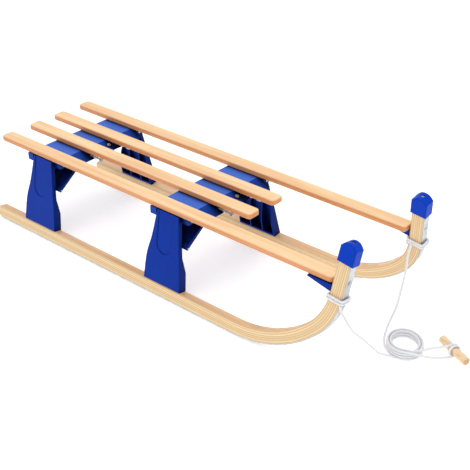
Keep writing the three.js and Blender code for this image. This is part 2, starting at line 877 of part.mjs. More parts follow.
function ropeStretch(curve) {
  return new THREE.ExtrudeGeometry(ropeSection(stretchSides), {
    steps: stretchSteps, bevelEnabled: false, extrudePath: curve,
  });
}

// The strand that goes to the handle, round its groove and back
function handleFrame() {
  const along = new THREE.Vector3(Math.cos(handleAngle), Math.sin(handleAngle), 0);
  const towards = new THREE.Vector3(Math.sin(handleAngle), -Math.cos(handleAngle), 0);
  const centre = new THREE.Vector3(handleCentre[0], handleCentre[1], handleZ);
  return { along, towards, centre };
}

function handleStrandPath() {
  const { along, towards, centre } = handleFrame();
  const reach = handleGrooveRadius + seatGap + ropeRadius;
  const tie = [];
  const steps = Math.round(stepsPerLoop * tieTurns);
  for (let i = 0; i <= steps; i += 1) {
    const angle = -Math.PI / 2 - (2 * Math.PI * tieTurns * i) / steps;
    const shift = coilPitch * tieTurns * (i / steps - 0.5);
    tie.push(centre.clone()
      .addScaledVector(towards, reach * Math.cos(angle))
      .addScaledVector(new THREE.Vector3(0, 0, 1), reach * Math.sin(angle))
      .addScaledVector(along, -shift));
  }
  const outer = coils[0].points;
  const inner = coils[1].points;
  const outerEnd = endRun(outer, seatGap);
  const innerEnd = endRun(inner, seatGap);
  const outgoing = [outerEnd, endRun(outer, 2 * ropeDiameter)];
  const incoming = [endRun(inner, 2 * ropeDiameter), innerEnd];
  const lowRun = tie[0].clone().addScaledVector(towards, 2.4 * ropeDiameter);
  const highRun = tie[tie.length - 1].clone().addScaledVector(towards, 1.8 * ropeDiameter);
  const lowMid = outgoing[1].clone().lerp(lowRun, 0.55).setZ(lowRun.z + ropeRadius);
  const highMid = incoming[0].clone().lerp(highRun, 0.5);
  const approach = new THREE.CatmullRomCurve3([...outgoing, lowMid, lowRun, tie[0]], false, 'centripetal');
  const retreat = new THREE.CatmullRomCurve3([tie[tie.length - 1], highRun, highMid, ...incoming], false,
    'centripetal');
  return approach.getPoints(strandSteps).slice(0, -1).concat(tie, retreat.getPoints(strandSteps).slice(1));
}

function handleGeometry() {
  const half = handleLength / 2;
  const g = handleGroove / 2;
  const slope = handleRadius - handleGrooveRadius;
  const profile = [[0, -half], [handleRadius - handleBevel, -half], [handleRadius, -half + handleBevel],
    [handleRadius, -g], [handleGrooveRadius, -g + slope / 2], [handleGrooveRadius, g - slope / 2],
    [handleRadius, g], [handleRadius, half - handleBevel], [handleRadius - handleBevel, half], [0, half]];
  const { centre } = handleFrame();
  return new THREE.LatheGeometry(profile.map(([r, y]) => new THREE.Vector2(r, y)), handleSides)
    .rotateZ(-Math.PI / 2).rotateZ(handleAngle).translate(centre.x, centre.y, centre.z);
}

// Assembly
function slatGeometry(length, y) {
  const half = slatWidth / 2;
  const c = slatCorner;
  const quarter = Math.PI / 2;
  const plan = [
    ...arc(c, -half + c, c, 2 * quarter, 3 * quarter, 5),
    ...arc(length - c, -half + c, c, 3 * quarter, 4 * quarter, 5),
    ...arc(length - c, half - c, c, 0, quarter, 5),
    ...arc(c, half - c, c, quarter, 2 * quarter, 5),
  ];
  const board = alongZ(plan, slatUnder, slatTop, slatBevel).translate(0, y, 0);
  const holes = [];
  for (const station of [0, 1]) {
    for (const [x, screwY] of slatScrewPlaces()) {
      if (Math.abs(screwY - y) < half) holes.push(slatScrew(x + stationX(station), screwY, seatGap));
    }
  }
  return cut(board, holes);
}

const outerSlatLength = hornRear(slatUnder) - slatHornGap;
const slats = [
  ['slat_right_outer', outerSlatLength, -outerSlatY],
  ['slat_right_inner', innerSlatLength, -innerSlatY],
  ['slat_left_inner', innerSlatLength, innerSlatY],
  ['slat_left_outer', outerSlatLength, outerSlatY],
];
for (const [name, length, y] of slats) add(name, slatGeometry(length, y), slatWood);

const wood = runnerGeometry();
const metal = stripGeometry();
const cap = capGeometry();
const rest = restGeometry();
const leg = legGeometry();
const loopPoints = hornLoopPath();

for (const side of sides) {
  addToSide(side, `${side.name}_runner`, wood, runnerWood);
  addToSide(side, `${side.name}_runner_strip`, metal, steel);
  addToSide(side, `${side.name}_horn_cap`, cap, bluePlastic);
  addToSide(side, `${side.name}_cap_screw`, capScrew(0), steel);
  addToSide(side, `${side.name}_strip_screw`, stripScrew(0), steel);
  addToSide(side, `${side.name}_front_rest`, rest, bluePlastic);
  addToSide(side, `${side.name}_horn_loop`, woundTube(loopPoints, ropeRadius, 6), rope);
  stationNames.forEach((station, index) => {
    const shift = stationX(index);
    addToSide(side, `${side.name}_${station}_leg`, leg.clone().translate(shift, 0, 0), bluePlastic);
    addToSide(side, `${side.name}_${station}_leg_bolt`, legBolt(legBoltX + shift, 0), steel);
  });
}

stationNames.forEach((station, index) => {
  const trestle = new THREE.Group();
  trestle.position.x = stationX(index);
  model.add(trestle);
  add(`${station}_beam`, beamGeometry(), bluePlastic, trestle);
  add(`${station}_beam_bolt`, beamBolt(0), steel, trestle);
  for (const [x, y, place] of slatScrewPlaces()) {
    add(`${station}_${place}_slat_screw`, slatScrew(x, y, 0), steel, trestle);
  }
  for (const side of sides) {
    add(`${side.name}_${station}_hinge_pin`, hingePin(side.sign), steel, trestle);
    add(`${side.name}_${station}_stay_pin`, stayPin(side.sign), steel, trestle);
    add(`${side.name}_${station}_brace_pin`, bracePin(side.sign), steel, trestle);
    const swing = new THREE.Group();
    swing.position.set(0, side.sign * braceY, braceZ);
    swing.rotation.x = -side.sign * braceAngle;
    trestle.add(swing);
    const plate = side.sign < 0 ? braceGeometry() : mirrored(braceGeometry());
    add(`${side.name}_${station}_brace`, plate, bluePlastic, swing);
  }
});

// Rope nodes
coils.forEach((coil) => {
  add(coil.name, woundTube(coil.points, ropeRadius, 6), rope);
  console.log(`${coil.name}: least gap to itself ${leastSelfGap(coil.points, ropeDiameter).toFixed(2)} mm`);
});
const rightSeat = loopSeat(sides[0], rightSeatIndex, rightSeatShare);
const leftSeat = loopSeat(sides[1], leftSeatIndex, leftSeatShare);
add('right_rope_stretch', ropeStretch(stretchCurve(rightSeat, rightRoute, coils[0])), rope);
add('left_rope_stretch', ropeStretch(stretchCurve(leftSeat, leftRoute, coils[1])), rope);
add('handle_strand', woundTube(handleStrandPath(), ropeRadius, stretchSides), rope);
add('pull_handle', handleGeometry(), handleWood);
console.log(`horn loop: least gap to itself ${leastSelfGap(loopPoints, ropeDiameter).toFixed(2)} mm`);

// Centre the sledge, without its free rope, over the origin
const footprint = new THREE.Box3();
const ropeNames = ['rope_coil_outer', 'rope_coil_inner', 'right_rope_stretch', 'left_rope_stretch',
  'handle_strand', 'pull_handle'];
model.updateMatrixWorld(true);
model.traverse((node) => {
  if (node.isMesh && !ropeNames.includes(node.name)) footprint.expandByObject(node, true);
});
model.position.x = -(footprint.min.x + footprint.max.x) / 2;
model.position.z = -footprint.min.z;
console.log(`shift of the origin: ${model.position.x.toFixed(3)}, ${model.position.z.toFixed(3)} mm`);

export default sledge;
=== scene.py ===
"""Looks of the folding wooden sledge: camera, rope, materials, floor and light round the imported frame.

Lengths below are millimetres in the sledge's own plan, with X counted from the slats' rear ends;
place() turns them into the frame's metres.
"""

import json
import math

import bpy
from mathutils import Matrix, Vector


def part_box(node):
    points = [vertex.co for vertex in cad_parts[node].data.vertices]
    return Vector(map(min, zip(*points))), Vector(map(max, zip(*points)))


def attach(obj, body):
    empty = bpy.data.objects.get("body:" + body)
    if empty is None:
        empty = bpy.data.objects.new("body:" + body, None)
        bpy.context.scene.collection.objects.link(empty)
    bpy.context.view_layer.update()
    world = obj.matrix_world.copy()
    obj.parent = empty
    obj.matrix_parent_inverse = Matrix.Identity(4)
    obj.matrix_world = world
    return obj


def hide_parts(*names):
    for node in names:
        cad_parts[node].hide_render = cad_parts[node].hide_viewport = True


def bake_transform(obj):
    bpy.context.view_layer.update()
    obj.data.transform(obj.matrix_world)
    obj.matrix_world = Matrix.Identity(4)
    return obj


MM = 0.001
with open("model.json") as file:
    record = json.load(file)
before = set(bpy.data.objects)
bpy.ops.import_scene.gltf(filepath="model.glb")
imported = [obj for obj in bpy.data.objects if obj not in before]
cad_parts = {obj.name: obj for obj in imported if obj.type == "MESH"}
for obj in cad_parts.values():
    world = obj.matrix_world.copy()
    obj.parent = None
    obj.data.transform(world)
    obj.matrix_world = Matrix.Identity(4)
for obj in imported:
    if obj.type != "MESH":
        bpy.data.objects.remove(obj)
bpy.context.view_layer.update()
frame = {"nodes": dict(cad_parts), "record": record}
nodes = frame["nodes"]

# Plan and side plane
SLAT_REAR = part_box("slat_right_outer")[0].x
TILT = math.radians(9.9)
FOOT_Y = 174.5
STRIP_WIDTH = 18
SOLE_LIFT = STRIP_WIDTH / 2 * math.sin(TILT)

# Runner bend
BEND_START = 813
SLOW_RADIUS = 300
SLOW_ANGLE = math.radians(45)
TIGHT_RADIUS = 166
LAYER_DEPTH = 4.9
HORN_LEAN = math.radians(83)
HORN_DEPTH = 31.8
RUNNER_WIDTH = 22.5
KNEE_X = BEND_START + (SLOW_RADIUS - TIGHT_RADIUS) * math.sin(SLOW_ANGLE)
KNEE_H = SLOW_RADIUS - (SLOW_RADIUS - TIGHT_RADIUS) * math.cos(SLOW_ANGLE)

# Rope
ROPE_DIAMETER = 5.5
ROPE_RADIUS = ROPE_DIAMETER / 2
LOOP_PLACE = 183
LOOP_GAP = 0.6
LOOP_CORNER = 5
LOOP_CORNER_STEPS = 4
LOOP_PITCH = 6.7
LOOP_TURNS = 2
LOOP_TAIL = 12
LOOP_SEAT_GAP = 0.5
COIL_CENTRE = (1122, 14)
COIL_RADIUS = 37
COIL_STRETCH = 1.17
COIL_ROW_STEP = 6.6
COIL_PITCH = 6.3
COIL_START = math.radians(-80)
COIL_END = math.radians(-59)
COIL_TURNS = 3
COIL_TURN_AWAY = math.radians(41.3)
COIL_LIFT = 1.1
TURN_STEPS = 24
HANDLE_CENTRE = (1213, 60)
HANDLE_ANGLE = math.radians(-25)
GROOVE_RADIUS = 8
HANDLE_Z = 14.1
TIE_TURNS = 1.5
LOW_STRAND_REACH = 2.4
HIGH_STRAND_REACH = 1.8
LOW_STRAND_SHARE = 0.55
HIGH_STRAND_SHARE = 0.5
SEAT_GAP = 0.3
TUBE_SIDES = 12
TUBE_STEP = 1.4
BRAID_LOBES = 4
BRAID_SWELL = 0.035
LAY_LENGTH = 16
STRANDS_AROUND = 4
STRAND_PITCH = 1.4

# Where each stretch leaves its loop: a point of the loop's line and the share of the way to the next
RIGHT_SEAT = (9, 0.5)
LEFT_SEAT = (15, 0.75)
RIGHT_ROUTE = [(1092, -149, 128), (1097, -110, 81), (1099, -72, 38), (1099, -50, 14),
               (1105, -36, 4.1)]
LEFT_ROUTE = [(1047, 124, 150), (1048, 117.5, 112), (1051, 100, 74), (1053, 84, 42),
              (1053, 62, 17), (1059, 38, 4.8), (1074, 8, 3.3), (1093, -14, 3.1)]

# Rounded look of the edges, and how far from a wall the plastic gets painted shade, in metres
WOOD_EDGE = 0.0012
PLASTIC_EDGE = 0.0011
HANDLE_EDGE = 0.0008
STEEL_EDGE = 0.0006
PAINTED_SHADE_REACH = 0.045

# Floor, world and lamps; each lamp has its place, its width and its watts
FLOOR_REACH = 12
FLOOR_DROP = 0.0005
FLOOR_TONE = 0.93
FLOOR_GLOW = 0.4
WORLD_TINT = (0.95, 0.97, 1.0, 1)
WORLD_STRENGTH = 0.66
WHITE = (1, 1, 1, 1)
LAMP_TARGET = (0, 0, 0.12)
LAMPS = {
    "key": ((0.6, -1.4, 2.6), 2.2, 19),
    "top": ((-0.4, 0.6, 3.0), 2.8, 27),
    "fill": ((2.2, 0.6, 1.2), 1.6, 3),
}

# Camera, fitted to the photograph
CAMERA_PLACE = (2011.46, -1513.74, 1295.46)
CAMERA_RIGHT = (0.7506, 0.6606, -0.0146)
CAMERA_UP = (-0.3235, 0.3867, 0.8636)
LENS = 77.8
SENSOR = 36
VIEW_SHIFT = 0.0021


def place(x, y, z):
    """A point of the plan, in millimetres, as a point of the frame, in metres."""
    return Vector((SLAT_REAR + x * MM, y * MM, z * MM))


def side_point(sign, x, inward, up):
    """A point of a tilted side; sign is -1 on the right and 1 on the left."""
    across = FOOT_Y - inward * math.cos(TILT) - up * math.sin(TILT)
    height = SOLE_LIFT - inward * math.sin(TILT) + up * math.cos(TILT)
    return Vector((x, sign * across, height))


# Camera


def add_camera():
    right = Vector(CAMERA_RIGHT).normalized()
    up = Vector(CAMERA_UP)
    back = right.cross(up).normalized()
    up = back.cross(right)
    data = bpy.data.cameras.new("camera")
    data.lens = LENS
    data.sensor_width = SENSOR
    data.shift_x = VIEW_SHIFT
    data.clip_end = 20
    camera = bpy.data.objects.new("camera", data)
    bpy.context.scene.collection.objects.link(camera)
    turn = Matrix((right, up, back)).transposed().to_4x4()
    camera.matrix_world = Matrix.Translation(place(*CAMERA_PLACE)) @ turn
    bpy.context.scene.camera = camera


# Rope routes, in millimetres


def smooth(points, step):
    """Points along a centripetal Catmull-Rom curve through the given ones."""
    ends = [points[0] * 2 - points[1], *points, points[-1] * 2 - points[-2]]
    out = []
    for i in range(1, len(ends) - 2):
        p = ends[i - 1:i + 3]
        knots = [0.0]
        for a, b in zip(p, p[1:]):
            knots.append(knots[-1] + math.sqrt(max((b - a).length, 1e-6)))
        count = max(1, math.ceil((p[2] - p[1]).length / step))
        for k in range(count):
            t = knots[1] + (knots[2] - knots[1]) * k / count
            level = list(p)
            for width in (1, 2, 3):
                level = [
                    level[j].lerp(level[j + 1], (t - knots[low]) / (knots[high] - knots[low]))
                    for j, low, high in blend_spans(width)
                ]
            out.append(level[0])
    out.append(points[-1].copy())
    return out


def blend_spans(width):
    """Knot spans of one level of the Catmull-Rom pyramid."""
    if width == 1:
        return [(0, 0, 1), (1, 1, 2), (2, 2, 3)]
    if width == 2:
        return [(0, 0, 2), (1, 1, 3)]
    return [(0, 1, 2)]


def even(points, step):
    """The same line with points at even distances."""
    lengths = [0.0]
    for a, b in zip(points, points[1:]):
        lengths.append(lengths[-1] + (b - a).length)
    count = max(2, round(lengths[-1] / step))
    out = []
    j = 0
    for k in range(count + 1):
        want = lengths[-1] * k / count
        while j < len(points) - 2 and lengths[j + 1] < want:
            j += 1
        span = lengths[j + 1] - lengths[j]
        out.append(points[j].lerp(points[j + 1], (want - lengths[j]) / span if span else 0))
    return out


def horn_point(height):
    """X of the runner's outer edge at a height on the straight horn."""
    end_x = KNEE_X + TIGHT_RADIUS * math.sin(HORN_LEAN)
    end_h = KNEE_H - TIGHT_RADIUS * math.cos(HORN_LEAN)
    return end_x + (height - end_h) / math.tan(HORN_LEAN)


def loop_centre_line(steps):
    """Horn loop in the loop's own plane: a rounded rectangle that climbs as it turns."""
    a = HORN_DEPTH / 2 + LOOP_GAP + ROPE_RADIUS
    b = RUNNER_WIDTH / 2 + LOOP_GAP + ROPE_RADIUS
    flat = []
    for k in range(LOOP_TURNS * 4 + 1):
        sx, sy = [(-1, 1), (-1, -1), (1, -1), (1, 1)][k % 4]
        start = math.pi / 2 * (k % 4 + 1)
        for i in range(steps):
            angle = start + math.pi / 2 * i / (steps - 1)
            flat.append(Vector((sx * (a - LOOP_CORNER) + LOOP_CORNER * math.cos(angle),
                                sy * (b - LOOP_CORNER) + LOOP_CORNER * math.sin(angle), 0)))
    count = len(flat) - 1
    for i, point in enumerate(flat):
        point.z = LOOP_PITCH * LOOP_TURNS * (i / count - 0.5)
    return flat


def on_horn(sign, point):
    """A point of the loop's plane, set round the horn of one side."""
    lean = math.pi / 2 - HORN_LEAN
    middle = horn_point(LOOP_PLACE) - HORN_DEPTH / 2 * math.sin(HORN_LEAN)
    x = middle + point.x * math.cos(lean) + point.z * math.sin(lean)
    h = LOOP_PLACE - point.x * math.sin(lean) + point.z * math.cos(lean)
    return side_point(sign, x, point.y, h)


def horn_loop(sign):
    line = loop_centre_line(LOOP_CORNER_STEPS)
    tail = line[-1].copy()
    tail.y -= LOOP_TAIL
    return [on_horn(sign, point) for point in line + [tail]]


def loop_seat(sign, index, share):
    """First two points of a stretch that hangs from the underside of a loop."""
    line = loop_centre_line(LOOP_CORNER_STEPS)
    seat = line[index].lerp(line[index + 1], share)
    under = ROPE_RADIUS + LOOP_SEAT_GAP
    drops = (under, under + ROPE_DIAMETER)
    return [on_horn(sign, seat - Vector((0, 0, drop))) for drop in drops]


def coil_route(radius):
    sweep = COIL_TURNS * 2 * math.pi + COIL_END - COIL_START
    steps = round(TURN_STEPS * sweep / (2 * math.pi))
    points = []
    for i in range(steps + 1):
        turned = sweep * i / steps
        angle = COIL_START + turned - COIL_TURN_AWAY
        across = math.cos(angle) * radius
        away = math.sin(angle) * radius * COIL_STRETCH
        c, s = math.cos(COIL_TURN_AWAY), math.sin(COIL_TURN_AWAY)
        points.append(Vector((
            COIL_CENTRE[0] + across * c - away * s,
            COIL_CENTRE[1] + across * s + away * c,
            ROPE_RADIUS * COIL_LIFT + COIL_PITCH * turned / (2 * math.pi))))
    return [end_run(points[::-1], ROPE_DIAMETER), *points, end_run(points, ROPE_DIAMETER)]


def end_run(points, reach):
    """A level point beyond the last one."""
    direction = points[-1] - points[-2]
    direction.z = 0
    return points[-1] + direction.normalized() * reach


def strand_route(outer, inner):
    """From the outer coil to the handle, round its groove and back to the inner coil."""
    along = Vector((math.cos(HANDLE_ANGLE), math.sin(HANDLE_ANGLE), 0))
    towards = Vector((math.sin(HANDLE_ANGLE), -math.cos(HANDLE_ANGLE), 0))
    centre = Vector((*HANDLE_CENTRE, HANDLE_Z))
    reach = GROOVE_RADIUS + SEAT_GAP + ROPE_RADIUS
    steps = round(TURN_STEPS * TIE_TURNS)
    tie = []
    for i in range(steps + 1):
        angle = -math.pi / 2 - 2 * math.pi * TIE_TURNS * i / steps
        shift = COIL_PITCH * TIE_TURNS * (i / steps - 0.5)
        tie.append(centre + towards * (reach * math.cos(angle))
                   + Vector((0, 0, reach * math.sin(angle))) - along * shift)
    outgoing = [end_run(outer, SEAT_GAP), end_run(outer, 2 * ROPE_DIAMETER)]
    incoming = [end_run(inner, 2 * ROPE_DIAMETER), end_run(inner, SEAT_GAP)]
    low = tie[0] + towards * (LOW_STRAND_REACH * ROPE_DIAMETER)
    high = tie[-1] + towards * (HIGH_STRAND_REACH * ROPE_DIAMETER)
    low_middle = outgoing[1].lerp(low, LOW_STRAND_SHARE)
    low_middle.z = low.z + ROPE_RADIUS
    high_middle = incoming[0].lerp(high, HIGH_STRAND_SHARE)
    approach = smooth([*outgoing, low_middle, low, tie[0]], TUBE_STEP)
    retreat = smooth([tie[-1], high, high_middle, *incoming], TUBE_STEP)
    return approach[:-1] + tie + retreat[1:]


# Rope meshes


def rope_mesh(name, points):
    """A braided tube along the points, with its length and turn kept as a UV map."""
    line = [place(*point) for point in even(points, TUBE_STEP)]
    step = (line[1] - line[0]).length / MM
    verts = []
    normal = Vector((0, 0, 1))
    for i, point in enumerate(line):
        tangent = (line[min(i + 1, len(line) - 1)] - line[max(i - 1, 0)]).normalized()
        normal = normal - tangent * normal.dot(tangent)
        if normal.length < 0.01:
            normal = tangent.orthogonal()
        normal.normalize()
        side = tangent.cross(normal)
        for k in range(TUBE_SIDES):
            angle = 2 * math.pi * k / TUBE_SIDES
            lobes = math.cos(BRAID_LOBES * angle - 2 * math.pi * i * step / LAY_LENGTH)
            radius = ROPE_RADIUS * MM * (1 - BRAID_SWELL + BRAID_SWELL * lobes)
            verts.append(point + (normal * math.cos(angle) + side * math.sin(angle)) * radius)
    faces = []
    for i in range(len(line) - 1):
        for k in range(TUBE_SIDES):
            a = i * TUBE_SIDES + k
            b = i * TUBE_SIDES + (k + 1) % TUBE_SIDES
            faces.append((a, b, b + TUBE_SIDES, a + TUBE_SIDES))
    last = (len(line) - 1) * TUBE_SIDES
    faces.append(tuple(reversed(range(TUBE_SIDES))))
    faces.append(tuple(range(last, last + TUBE_SIDES)))
    mesh = bpy.data.meshes.new(name)
    mesh.from_pydata(verts, [], faces)
    layer = mesh.uv_layers.new(name="rope_uv")
    for face in mesh.polygons:
        face.use_smooth = True
        turns = [mesh.loops[i].vertex_index % TUBE_SIDES for i in face.loop_indices]
        wraps = max(turns) - min(turns) > TUBE_SIDES / 2
        for loop, turn in zip(face.loop_indices, turns):
            ring = mesh.loops[loop].vertex_index // TUBE_SIDES
            around = turn + TUBE_SIDES if wraps and turn == 0 else turn
            layer.data[loop].uv = (ring * step / ROPE_DIAMETER, around / TUBE_SIDES)
    mesh.update()
    piece = bpy.data.objects.new(name, mesh)
    bpy.context.scene.collection.objects.link(piece)
    return piece, line


def add_rope():
    outer, inner = coil_route(COIL_RADIUS), coil_route(COIL_RADIUS - COIL_ROW_STEP)
    pieces = []
    stretches = [
        ("right", -1, RIGHT_SEAT, RIGHT_ROUTE, outer),
        ("left", 1, LEFT_SEAT, LEFT_ROUTE, inner),
    ]
    for side, sign, seat, route, coil in stretches:
        loop, _ = rope_mesh(f"{side}_loop_rope", horn_loop(sign))
        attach(loop, f"{side}_side")
        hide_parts(f"{side}_horn_loop")
        pieces.append(loop)
        back = (coil[0] - coil[1]).normalized()
        points = loop_seat(sign, *seat) + [Vector(point) for point in route]
        points += [coil[0] + back * (2 * ROPE_DIAMETER), coil[0] + back * SEAT_GAP]
        stretch, line = rope_mesh(f"{side}_pull_rope", smooth(points, TUBE_STEP))
        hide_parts(f"{side}_rope_stretch")
        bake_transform(stretch)
        pieces.append(stretch)
    route = outer + strand_route(outer, inner) + inner[::-1]
    coil, line = rope_mesh("coiled_rope", route)
    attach(coil, "seat")
    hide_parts("rope_coil_outer", "rope_coil_inner", "handle_strand")
    pieces.append(coil)
    return pieces


# Materials


class Shade:
    """A short way to write a node material: each call adds one node and gives its output."""

    def __init__(self, name):
        self.material = bpy.data.materials.new(name)
        self.material.use_nodes = True
        self.tree = self.material.node_tree
        self.shader = self.tree.nodes["Principled BSDF"]

    def node(self, kind, output=0, values=(), **settings):
        made = self.tree.nodes.new(f"ShaderNode{kind}")
        for key, value in settings.items():
            setattr(made, key, value)
        for key, value in dict(values).items():
            self.feed(made.inputs[key], value)
        return made.outputs[output]

    def feed(self, socket, value):
        if isinstance(value, bpy.types.NodeSocket):
            self.tree.links.new(value, socket)
        else:
            socket.default_value = value

    def set(self, **inputs):
        for key, value in inputs.items():
            self.feed(self.shader.inputs[key.replace("_", " ")], value)

    def math(self, operation, a, b=0.0, c=0.0):
        return self.node("Math", values={0: a, 1: b, 2: c}, operation=operation)

    def coords(self, scale=(1, 1, 1), rotation=(0, 0, 0)):
        place_of = self.node("TexCoord", "Object")
        return self.node("Mapping", values={"Vector": place_of, "Scale": scale, "Rotation": rotation})

    def noise(self, vector, scale, detail, distortion=0.0):
        return self.node("TexNoise", "Fac", values={
            "Vector": vector, "Scale": scale, "Detail": detail, "Distortion": distortion})

    def ramp(self, factor, stops):
        colour = self.node("ValToRGB", values={"Fac": factor})
        elements = colour.node.color_ramp.elements
        while len(elements) < len(stops):
            elements.new(0.5)
        for element, (position, value) in zip(elements, stops):
            element.position = position
            element.color = (*value, 1)
        return colour

    def tones(self, factor, places, *colours):
        return self.ramp(factor, [(at, rgb(*colour)) for at, colour in zip(places, colours)])

    def mix(self, factor, a, b):
        made = self.tree.nodes.new("ShaderNodeMix")
        made.data_type = "RGBA"
        self.feed(made.inputs["Factor"], factor)
        for socket, value in ((made.inputs[6], a), (made.inputs[7], b)):
            self.feed(socket, (*value, 1) if isinstance(value, tuple) else value)
        return made.outputs[2]

    def span(self, value, from_low, from_high, to_low, to_high):
        return self.node("MapRange", values={
            "Value": value, "From Min": from_low, "From Max": from_high, "To Min": to_low,
            "To Max": to_high})

    def bump(self, height, strength, distance, edge=0.0):
        values = {"Height": height, "Strength": strength, "Distance": distance}
        if edge:
            values["Normal"] = self.node("Bevel", values={"Radius": edge}, samples=4)
        self.set(Normal=self.node("Bump", values=values))


def rgb(red, green, blue):
    """A colour given in display values, from 0 to 255, as linear light."""
    def linear(value):
        share = value / 255
        return share / 12.92 if share <= 0.04045 else ((share + 0.055) / 1.055) ** 2.4
    return (linear(red), linear(green), linear(blue))


# Painted shade: dark blues laid on the plastic in its hollows and on its front and rear faces
PAINTED_HOLLOW_SHADE = rgb(2, 8, 44)
PAINTED_SHADE_BLUE = rgb(0, 10, 62)


def wood_grain(shade, along_scale, across_scale):
    """Long drawn-out grain, and short dark flecks as beech has them."""
    stretched = shade.coords(scale=(along_scale, across_scale, across_scale))
    broad = shade.noise(stretched, 1.0, detail=5, distortion=0.6)
    flecks = shade.node("TexVoronoi", "Distance", values={
        "Vector": shade.coords(scale=(along_scale * 9, across_scale * 9, across_scale * 9)),
        "Scale": 1.0})
    return broad, flecks


def facing(shade, axis, low, high):
    """1 where a face looks along one of its own axes, 0 where it looks across it."""
    look = shade.node("SeparateXYZ", axis, values={"Vector": shade.node("TexCoord", "Normal")})
    return shade.span(shade.math("ABSOLUTE", look), low, high, 0.0, 1.0)


def slat_wood():
    shade = Shade("slat_beech")
    broad, flecks = wood_grain(shade, 3.5, 60)
    spread = (0.3, 0.5, 0.72)
    top = shade.tones(broad, spread, (236, 188, 134), (248, 207, 154), (253, 219, 172))
    # Faces that don't look up take darker orange: real darker end grain, and painted shade on the long
    # sides and undersides
    edge = shade.tones(broad, spread, (196, 118, 62), (213, 137, 79), (225, 153, 95))
    base = shade.mix(facing(shade, 2, 0.45, 0.8), edge, top)
    fleck = shade.span(flecks, 0.0, 0.22, 0.8, 1.0)
    speckled = shade.mix(fleck, rgb(196, 134, 82), base)
    tone = shade.noise(shade.coords(scale=(0.6, 14, 14)), 1.0, detail=1)
    toned = shade.mix(shade.span(tone, 0.35, 0.65, 0.0, 0.3), speckled, rgb(224, 164, 112))
    shade.set(Base_Color=toned, Roughness=shade.span(broad, 0.3, 0.7, 0.42, 0.55))
    shade.set(Coat_Weight=0.2, Coat_Roughness=0.25)
    shade.bump(broad, 0.12, 0.0004, edge=WOOD_EDGE)
    return shade.material


def layer_depth(shade):
    """Depth inside the runner's outer edge, following the bend, in millimetres."""
    coords = shade.node("TexCoord", "Object")
    axes = shade.node("SeparateXYZ", values={"Vector": coords})
    x_out, y_out, z_out = axes.node.outputs
    x = shade.math("MULTIPLY_ADD", x_out, 1 / MM, -SLAT_REAR / MM)
    across = shade.math("MULTIPLY_ADD", shade.math("ABSOLUTE", y_out), -1 / MM, FOOT_Y)
    up = shade.math("MULTIPLY_ADD", z_out, 1 / MM, -SOLE_LIFT)
    height = shade.math("ADD", shade.math("MULTIPLY", across, math.sin(TILT)),
                        shade.math("MULTIPLY", up, math.cos(TILT)))

    def from_centre(centre_x, centre_h, radius):
        dx = shade.math("SUBTRACT", x, centre_x)
        dh = shade.math("SUBTRACT", height, centre_h)
        squares = shade.math("ADD", shade.math("MULTIPLY", dx, dx), shade.math("MULTIPLY", dh, dh))
        return shade.math("SUBTRACT", radius, shade.math("SQRT", squares)), dx, dh

    slow, slow_dx, slow_dh = from_centre(BEND_START, SLOW_RADIUS, SLOW_RADIUS)
    tight, tight_dx, tight_dh = from_centre(KNEE_X, KNEE_H, TIGHT_RADIUS)
    straight_out = shade.math("ADD", shade.math("MULTIPLY", tight_dx, math.sin(HORN_LEAN)),
                              shade.math("MULTIPLY", tight_dh, -math.cos(HORN_LEAN)))
    straight = shade.math("SUBTRACT", TIGHT_RADIUS, straight_out)
    past_start = shade.math("GREATER_THAN", slow_dx, 0.0)
    past_knee = shade.math("GREATER_THAN", shade.math("ADD", slow_dx, slow_dh), 0.0)
    past_arc = shade.math("GREATER_THAN", shade.math(
        "ADD", shade.math("MULTIPLY", tight_dh, math.sin(HORN_LEAN)),
        shade.math("MULTIPLY", tight_dx, math.cos(HORN_LEAN))), 0.0)

    def choose(test, yes, no):
        return shade.node("Mix", values={0: test, 2: no, 3: yes})

    horn = choose(past_arc, straight, tight)
    bend = choose(past_knee, horn, slow)
    return choose(past_start, bend, height), x


def runner_wood():
    shade = Shade("runner_laminate")
    depth, x = layer_depth(shade)
    layer = shade.math("MULTIPLY", depth, 1 / LAYER_DEPTH)
    number = shade.math("FLOOR", layer)
    within = shade.math("FRACT", layer)
    tone = shade.node("TexWhiteNoise", "Value", values={"W": number}, noise_dimensions="1D")
    from_glue = shade.math("SUBTRACT", 0.5, shade.math("ABSOLUTE", shade.math("SUBTRACT", within, 0.5)))
    glue = shade.span(from_glue, 0.05, 0.12, 0.6, 0.0)
    grain_place = shade.node("CombineXYZ", values={
        0: shade.math("MULTIPLY", x, 0.006), 1: shade.math("MULTIPLY", depth, 0.5), 2: number})
    grain = shade.noise(grain_place, 2.2, detail=5, distortion=0.4)
    spread = (0.3, 0.52, 0.75)
    base = shade.tones(grain, spread, (226, 194, 142), (243, 213, 164), (250, 225, 184))
    layered = shade.mix(shade.math("MULTIPLY", tone, 0.5), base, rgb(218, 178, 124))
    glued = shade.mix(glue, layered, rgb(158, 116, 70))
    face_grain = shade.noise(shade.coords(scale=(3, 70, 70)), 1.0, detail=5, distortion=0.5)
    veneer = shade.tones(face_grain, spread, (214, 166, 118), (230, 188, 142), (240, 204, 162))
    shade.set(Base_Color=shade.mix(facing(shade, 1, 0.5, 0.8), veneer, glued),
              Roughness=shade.span(grain, 0.3, 0.7, 0.42, 0.55))
    shade.set(Coat_Weight=0.2, Coat_Roughness=0.25)
    shade.bump(grain, 0.1, 0.0004, edge=WOOD_EDGE)
    return shade.material


